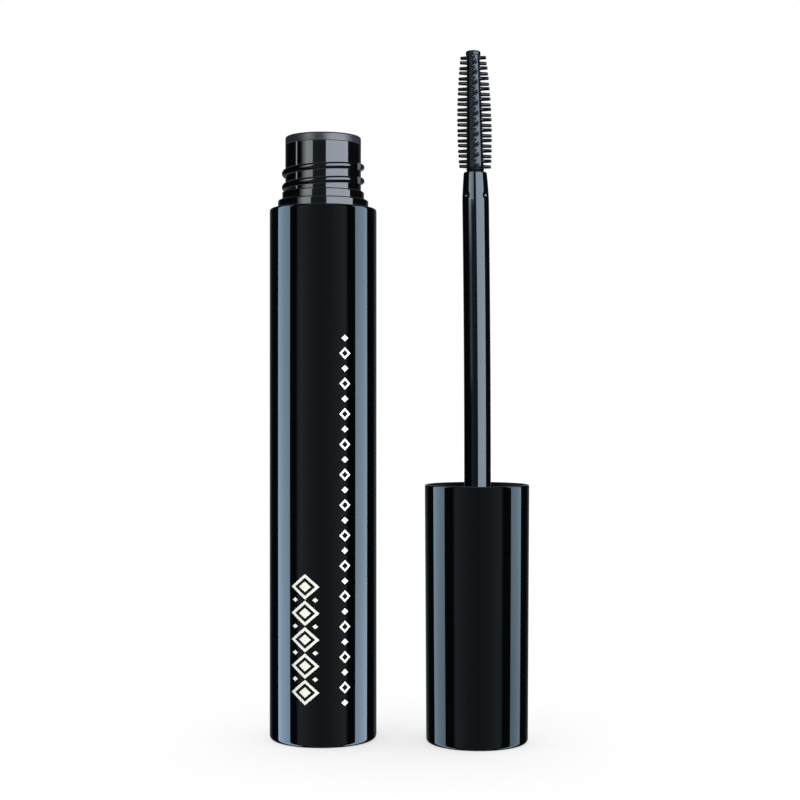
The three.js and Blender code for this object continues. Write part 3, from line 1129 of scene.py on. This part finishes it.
    def rod(self) -> Piece:
        """Builds the rod: a tube with a plug end, a rounded tip and four crimp dents below it.

        The dents stand midway between the axes. A dent takes depth * exp(-(x^2 + z^2) / width^2)
        off the radius, where x is the distance round the rod and z the height from its middle.

        Returns:
            The rod.
        """
        at, tip, fillet = self.rod_at, self.rod_tip_radius, self.rod_tip_fillet
        crimp = at.top - self.crimp_below_tip
        base, chamfer = at.base, self.plug_chamfer
        socket_base = at.top - self.stem_length - self.seat_gap
        taper = np.linspace(at.top - self.rod_taper, at.top - fillet, self.taper_rows)
        eased = ((taper - taper[0]) / (taper[-1] - taper[0])) ** self.rod_taper_power
        narrowed = self.rod_radius - (self.rod_radius - tip) * eased
        outline = Outline((self.rod_bore, base), (at.radius - chamfer, base))
        outline.line((at.radius, base + chamfer), (at.radius, self.web_top))
        shaft = np.linspace(self.web_top, taper[0], self.rod_rows)
        outline.line(*((self.rod_radius, height) for height in shaft))
        outline.line(*zip(narrowed, taper))
        outline.arc((tip - fillet, at.top - fillet), fillet, 0, 90)
        outline.line((self.stem_socket, at.top), (self.stem_socket, socket_base))
        outline.line((self.rod_bore, socket_base))
        section = outline.points
        angle = turn(Detail.STEM)[None, :]
        radius, height = section[:, :1], section[:, 1:]
        off_middle = angle % (np.pi / 2) - np.pi / 4
        spread = ((radius * off_middle) ** 2 + (height - crimp) ** 2) / self.crimp_width**2
        dent = np.where(radius > self.stem_socket, self.crimp_depth * np.exp(-spread), 0.0)
        shell = Shell("rod_tube")
        shell.grid(around(radius - dent, height, self.axis, Detail.STEM), closed_rows=True)
        self._bend(shell)
        return shell.finish()

    def brush(self) -> Piece:
        """Builds the brush on the rod's end.

        Returns:
            The brush.
        """
        at = self.brush_at
        brush = Brush(root=self.rod_at.top, axis=self.axis, stem_base=at.base, tip=at.top)
        shell = brush.build()
        self._bend(shell)
        return shell.finish(sharp=60)

    def dress(self) -> list[Piece]:
        """Builds and dresses every piece of the wand.

        Returns:
            The pieces: the overcap first, then the pieces that it holds.
        """
        body = Body.WAND
        overcap = place_piece(self.overcap(), Look.CAP, body, "overcap")
        line_inside(overcap, self.axis, Look.LINING)
        return [
            overcap,
            place_piece(self.inner_cap(), Look.INNER, body, "inner_cap"),
            place_piece(self.gasket(), Look.GASKET, Body.GASKET, "gasket"),
            place_piece(self.rod(), Look.ROD, body, "rod"),
            place_piece(self.brush(), Look.BRUSH, body, "brush"),
        ]


# ---------------------------------------------------------------- the studio


@dataclass(frozen=True)
class Softbox:
    """A soft light panel that faces an upright axis, and how its light fades.

    It covers the angles from `start_deg` to `end_deg` as seen from the axis. Its radiance goes
    straight from `radiance[0]` at the height `fade[0]` to `radiance[1]` at `fade[1]`, and rises
    from nothing over the share `soft` of its width, counted from the starting side. With
    `own_shadows` only the pieces that it lights stand in its way.
    """

    name: str
    start_deg: float
    end_deg: float
    radiance: Pair
    colour: Colour
    fade: Pair = (-60.0, 120.0)
    low: float = -600.0
    high: float = 330.0
    soft: float = 1e-4
    own_shadows: bool = False
    distance: float = 300.0

    def _shade(self, data: bpy.types.AreaLight) -> None:
        """Gives the panel its fade.

        Args:
            data: the light, whose own power is a radiance of one.
        """
        data.use_nodes = True
        graph = Graph(data.node_tree)
        place = graph.add("ShaderNodeNewGeometry").outputs["Parametric"]
        where = graph.add("ShaderNodeSeparateXYZ", Vector=place).outputs
        fade = [(level - self.low) / (self.high - self.low) for level in self.fade]
        upward = graph.between(where["Y"], *fade, *self.radiance)
        sideways = graph.between(where["X"], 0.0, self.soft, 0.0, 1.0)
        strength = graph.math("MULTIPLY", upward, sideways)
        graph.set(data.node_tree.nodes["Emission"], Strength=strength)

    def build(self, axis: np.ndarray, receivers: Sequence[Piece]) -> None:
        """Makes the light. A radiance of one takes a power of pi * area.

        Args:
            axis: the place in X and Y of the axis that it faces, in millimetres.
            receivers: the pieces that it lights.
        """
        middle = math.radians((self.start_deg + self.end_deg) / 2)
        half = math.radians((self.end_deg - self.start_deg) / 2)
        data = bpy.data.lights.new(self.name, "AREA")
        data.shape = "RECTANGLE"
        data.size = 2 * self.distance * math.tan(half) * MM
        data.size_y = (self.high - self.low) * MM
        data.energy = math.pi * data.size * data.size_y
        data.color = self.colour
        self._shade(data)
        light = bpy.data.objects.new(self.name, data)
        out = Vector((math.sin(middle), -math.cos(middle), 0))
        level = (self.low + self.high) / 2
        light.location = (Vector((axis[0], axis[1], level)) + out * self.distance) * MM
        light.rotation_mode = "QUATERNION"
        light.rotation_quaternion = out.to_track_quat("Z", "Y")
        light.visible_camera = False
        bpy.context.scene.collection.objects.link(light)
        lit = bpy.data.collections.new(f"{self.name}_lights")
        for piece in receivers:
            lit.objects.link(piece)
        light.light_linking.receiver_collection = lit
        if self.own_shadows:
            light.light_linking.blocker_collection = lit


@dataclass
class Studio:
    """A pale floor under even white light, with panels that draw the gloss.

    `tones` are the walls' mirrored tones, each after its angle from the front in half turns.
    """

    middle: float = 12.6
    camera_distance: float = 269.8
    camera_height: float = 55.4
    lens: float = 74.0
    sensor: float = 36.0
    floor_size: float = 40.0
    floor_glow: float = 0.6
    ambient: float = 1.25
    wall_tint: Colour = (0.82, 1.0, 1.14)
    tones: tuple[Pair, ...] = (
        (0.0, 0.15), (0.12, 0.2), (0.25, 0.34), (0.285, 0.34), (0.32, 0.0),
        (0.76, 0.0), (0.82, 0.06), (0.9, 0.16), (1.0, 0.2),
    )

    def camera(self) -> None:
        """Puts the camera level in front of the tube."""
        data = bpy.data.cameras.new("camera")
        data.lens, data.sensor_width = self.lens, self.sensor
        data.clip_start, data.clip_end = 0.01, 100.0
        camera = bpy.data.objects.new("camera", data)
        camera.location = Vector((self.middle, -self.camera_distance, self.camera_height)) * MM
        camera.rotation_euler = (math.pi / 2, 0, 0)
        bpy.context.scene.collection.objects.link(camera)
        bpy.context.scene.camera = camera

    def floor(self) -> None:
        """Lays the floor, in metres, which glows a little so that shadows on it stay faint.

        It isn't mirrored in the gloss, which shows the panels instead.
        """
        mesh = bpy.data.meshes.new("floor")
        half = self.floor_size / 2
        corners = [(-half, -half, 0), (half, -half, 0), (half, half, 0), (-half, half, 0)]
        mesh.from_pydata(corners, [], [(0, 1, 2, 3)])
        paper = Skin("floor_paper")
        grey = paper.mixed(paper.noise(Grain(3.0, 2.0)), (0.34, 0.34, 0.34), (0.36, 0.36, 0.36))
        paper.set(paper.shader, Base_Color=grey, Roughness=0.9, Specular_IOR_Level=0.0)
        paper.set(paper.shader, Emission_Color=(1, 1, 1, 1), Emission_Strength=self.floor_glow)
        mesh.materials.append(paper.material)
        floor = bpy.data.objects.new("floor", mesh)
        floor.visible_glossy = False
        floor.visible_shadow = False
        bpy.context.scene.collection.objects.link(floor)

    def surroundings(self) -> None:
        """Makes the walls: plain white, brighter as fill, and toned where they are mirrored.

        The mirrored tone depends only on the angle from the front: grey ahead, black beside the
        panels, and a soft grey behind the tube.
        """
        world = bpy.data.worlds.new("studio")
        bpy.context.scene.world = world
        world.use_nodes = True
        world.node_tree.nodes.clear()
        graph = Graph(world.node_tree)
        place = graph.add("ShaderNodeTexCoord").outputs["Generated"]
        where = graph.add("ShaderNodeSeparateXYZ", Vector=place).outputs
        ahead = graph.math("MULTIPLY", where["Y"], -1.0)
        angle = graph.math("ABSOLUTE", graph.math("ARCTAN2", where["X"], ahead))
        ramp = graph.add("ShaderNodeValToRGB", Fac=graph.math("DIVIDE", angle, math.pi))
        stops = ramp.color_ramp.elements
        for position, _ in self.tones[1:-1]:
            stops.new(position)
        for stop, (_, tone) in zip(stops, self.tones):
            stop.color = (*(tint * tone for tint in self.wall_tint), 1)
        path = graph.add("ShaderNodeLightPath").outputs
        extra = graph.math("MULTIPLY", path["Is Camera Ray"], self.ambient - 1)
        strength = graph.math("SUBTRACT", self.ambient, extra)
        white = graph.add("ShaderNodeBackground", Color=(1, 1, 1, 1), Strength=strength)
        mirrored = graph.add("ShaderNodeBackground", Color=ramp.outputs["Color"])
        chosen = graph.add("ShaderNodeMixShader")
        sources = (path["Is Glossy Ray"], white.outputs[0], mirrored.outputs[0])
        for socket, source in zip(chosen.inputs, sources):
            graph.put(socket, source)
        graph.add("ShaderNodeOutputWorld", Surface=chosen.outputs[0])

    def hang(self, axis: np.ndarray, pieces: Sequence[Piece], *panels: Softbox) -> None:
        """Hangs panels round an axis that light only some pieces."""
        for panel in panels:
            panel.build(axis, pieces)

    def light_bottle(self, axis: np.ndarray, pieces: Sequence[Piece]) -> None:
        """Hangs the bottle's panels: a strip at each side for the sleeve, two more for the neck.

        Args:
            axis: the bottle's axis.
            pieces: the sleeve, then the pieces that get the neck's light.
        """
        cool, warm = (0.69, 1.0, 1.33), (0.73, 1.0, 1.27)
        neutral, grey = (0.92, 1.0, 1.14), (0.93, 1.0, 1.02)
        rising, upper = (5.0, 3.9), (50.0, 140.0)
        self.hang(
            axis,
            pieces[:1],
            Softbox("sleeve_left", -109, -72.5, rising, cool, own_shadows=True),
            Softbox("sleeve_right", 75, 110.5, rising, warm, own_shadows=True),
        )
        self.hang(
            axis,
            pieces[1:],
            Softbox("neck_right", 11, 82.7, (7.4, 7.4), neutral, low=0, high=420),
            Softbox("neck_left", -67, -29, (0.0, 4.8), grey, upper, low=40, high=420, soft=0.5),
        )

    def light_wand(self, axis: np.ndarray, pieces: Sequence[Piece]) -> None:
        """Hangs the wand's panels: a strip at each side for the overcap, more for rod and brush.

        Args:
            axis: the wand's axis.
            pieces: the overcap, the pieces that get the rod's light, and last the brush.
        """
        cool, neutral, grey = (0.70, 1.0, 1.27), (0.85, 1.0, 1.19), (0.90, 1.0, 1.03)
        fade, upper, tip = (-60.0, 31.0), (100.0, 135.0), (124.0, 134.0)
        self.hang(
            axis,
            pieces[:1],
            Softbox("cap_left", -113, -78, (3.0, 3.7), cool, fade, own_shadows=True),
            Softbox("cap_right", 77, 109, (2.5, 3.3), cool, fade, own_shadows=True),
        )
        self.hang(
            axis,
            pieces[1:-1],
            Softbox("rod_right", 2.5, 75, (9.0, 9.0), neutral, low=0, high=420),
            Softbox("rod_left", -64.7, -42.7, (0.9, 8.0), grey, upper, low=60, high=420),
            Softbox("rod_tip_left", -42.7, -20, (0.0, 5.5), grey, tip, low=120, high=420),
        )
        self.hang(
            axis,
            pieces[-1:],
            Softbox("brush_right", 0, 84, (8.6, 8.6), neutral, low=100, high=270),
            Softbox("brush_left", -80, -16, (0.9, 0.9), neutral, low=60, high=300),
        )


def main() -> None:
    """Builds the tube in its studio."""
    logging.basicConfig(level=logging.INFO, format="%(name)s: %(message)s")
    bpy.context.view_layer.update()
    bottle, wand = Bottle(), Wand()
    bottle_pieces, wand_pieces = bottle.dress(), wand.dress()
    studio = Studio()
    studio.camera()
    studio.floor()
    studio.surroundings()
    studio.light_bottle(bottle.axis, bottle_pieces)
    studio.light_wand(wand.axis, wand_pieces)
    for piece in bottle_pieces + wand_pieces:
        piece.visible_glossy = False
    bpy.context.scene.view_settings.view_transform = "Standard"


if __name__ == "__main__":
    main()
